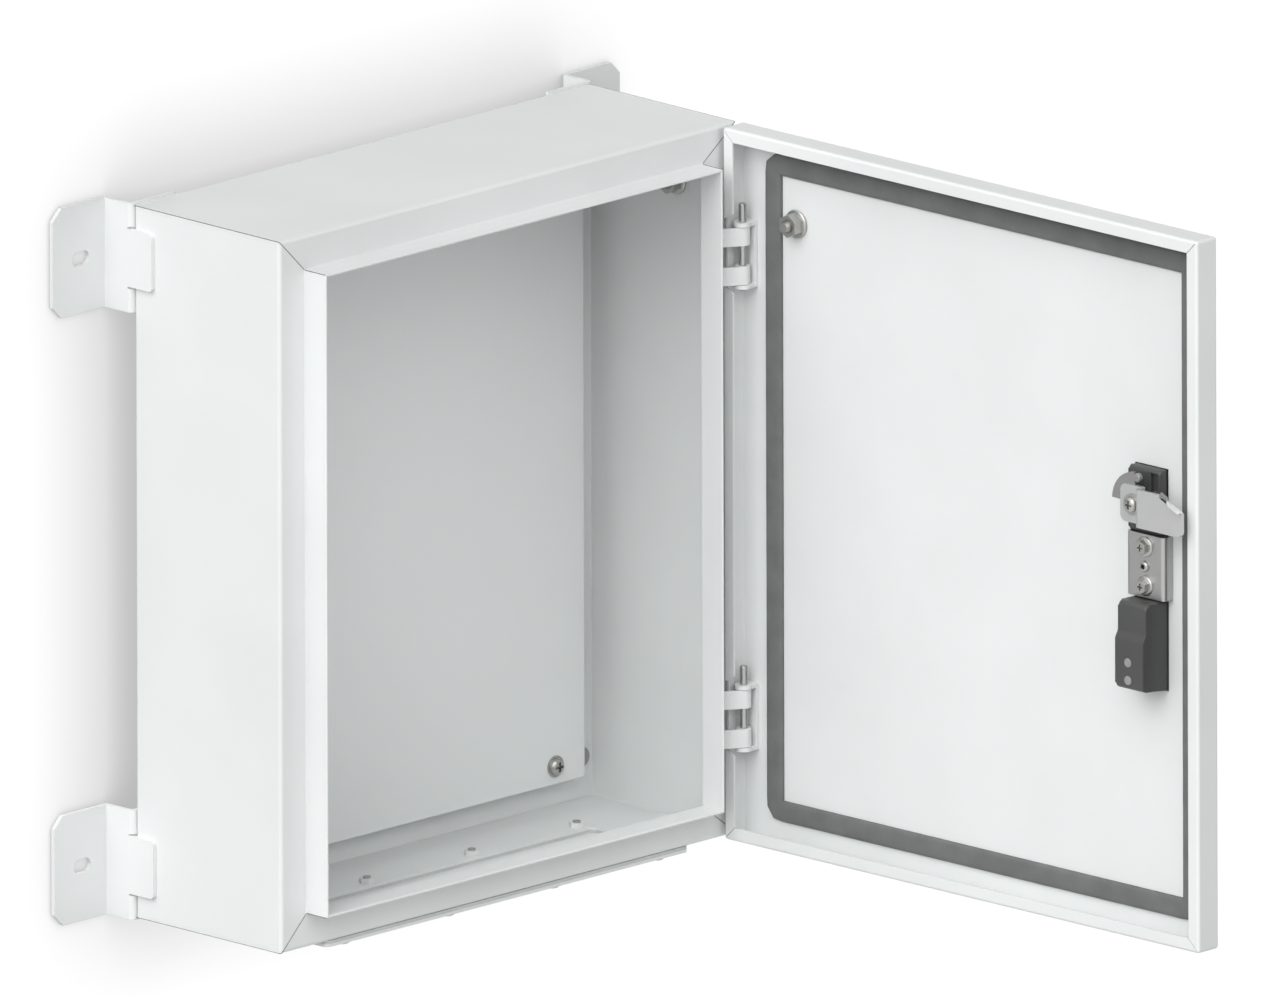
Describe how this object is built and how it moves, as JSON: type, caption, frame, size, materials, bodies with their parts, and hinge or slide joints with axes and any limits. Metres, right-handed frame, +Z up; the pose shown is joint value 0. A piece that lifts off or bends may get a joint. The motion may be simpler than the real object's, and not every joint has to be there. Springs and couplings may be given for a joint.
{
  "type": "access control enclosure",
  "caption": "Wall-mounted sheet-steel enclosure with its hinged door open, gasket, mounting plate, gland plate, wall brackets and an electronic swing-handle lock with cam",
  "frame": {"origin": "on the wall plane, where the four wall brackets bear, at the centre of their slots", "axes": "+X right seen from the front (hinge side), +Y back into the wall, +Z up"},
  "size_m": [0.4974, 0.5575, 0.4631],
  "materials": {
    "body_paint": "fine satin light grey powder coat",
    "door_paint": "fine satin light grey powder coat",
    "plate_paint": "smooth grey coated sheet",
    "gland_paint": "fine satin light grey powder coat",
    "bracket_paint": "fine satin light grey powder coat",
    "hinge_paint": "light grey powder coat",
    "hinge_pin_steel": "bright zinc",
    "zinc_screws": "bright zinc plate",
    "earth_steel": "bright zinc plate",
    "gasket_foam": "closed foam, dark grey",
    "lock_plastic": "matt black moulded",
    "plug_plastic": "matt black moulded",
    "clamp_steel": "satin zinc-plated sheet",
    "cam_steel": "satin zinc-plated sheet",
    "spindle_zinc": "turned steel",
    "lever_black": "black coated casting",
    "reader_black": "gloss black window",
    "cylinder_chrome": "chrome plate"
  },
  "bodies": {
    "enclosure": {"body_wrap": "body_paint", "top_panel": "body_paint", "bottom_panel": "body_paint", "gland_plate": "gland_paint", "gland_seal": "gasket_foam", "gland_screws": "zinc_screws", "gland_nuts": "zinc_screws", "mounting_plate": "plate_paint", "plate_standoffs": "zinc_screws", "plate_screws": "zinc_screws", "plate_washers": "zinc_screws", "wall_bracket_top_left": "bracket_paint", "wall_bracket_top_right": "bracket_paint", "wall_bracket_bottom_left": "bracket_paint", "wall_bracket_bottom_right": "bracket_paint", "bracket_screws": "zinc_screws", "bracket_nuts": "zinc_screws", "rear_hole_plugs": "plug_plastic", "body_earth_stud": "earth_steel", "body_earth_nut": "earth_steel", "hinge_leaf_upper": "hinge_paint", "hinge_leaf_lower": "hinge_paint"},
    "door": {"door_panel": "door_paint", "door_gasket": "gasket_foam", "door_earth_stud": "earth_steel", "door_earth_nut": "earth_steel", "hinge_bracket_upper": "hinge_paint", "hinge_bracket_lower": "hinge_paint", "hinge_pin_upper": "hinge_pin_steel", "hinge_pin_lower": "hinge_pin_steel", "lock_body": "lock_plastic", "electronics_housing": "lock_plastic", "housing_screws": "zinc_screws", "clamp_channel": "clamp_steel", "clamp_screws": "zinc_screws", "clamp_centre_screw": "zinc_screws", "handle_base": "lock_plastic", "handle_seal": "gasket_foam", "reader_window": "reader_black", "cylinder_barrel": "cylinder_chrome"},
    "rotor": {"handle_spindle": "spindle_zinc", "stop_claw": "cam_steel", "latch_cam": "cam_steel", "cam_washer": "zinc_screws", "cam_screw": "zinc_screws"},
    "lever": {"swing_lever": "lever_black", "lever_pin": "zinc_screws"},
    "key_plug": {"cylinder_plug": "cylinder_chrome"}
  },
  "joints": [
    {"name": "door_hinge", "type": "hinge", "parent": "enclosure", "child": "door", "pos_m": [0.1931, -0.16435, 0], "axis": [0, 0, 1], "range_deg": [-91.4, 28.6]},
    {"name": "handle_turn", "type": "hinge", "parent": "door", "child": "rotor", "pos_m": [0.21146, -0.5044, 0.051], "axis": [0.9997, 0.0244, 0], "range_deg": [0, 90]},
    {"name": "lever_swing", "type": "hinge", "parent": "rotor", "child": "lever", "pos_m": [0.22886, -0.50398, 0.055], "axis": [0.0244, -0.9997, 0], "range_deg": [0, 40]},
    {"name": "cylinder_turn", "type": "hinge", "parent": "door", "child": "key_plug", "pos_m": [0.22346, -0.50411, -0.062], "axis": [0.9997, 0.0244, 0], "range_deg": [0, 90]}
  ]
}
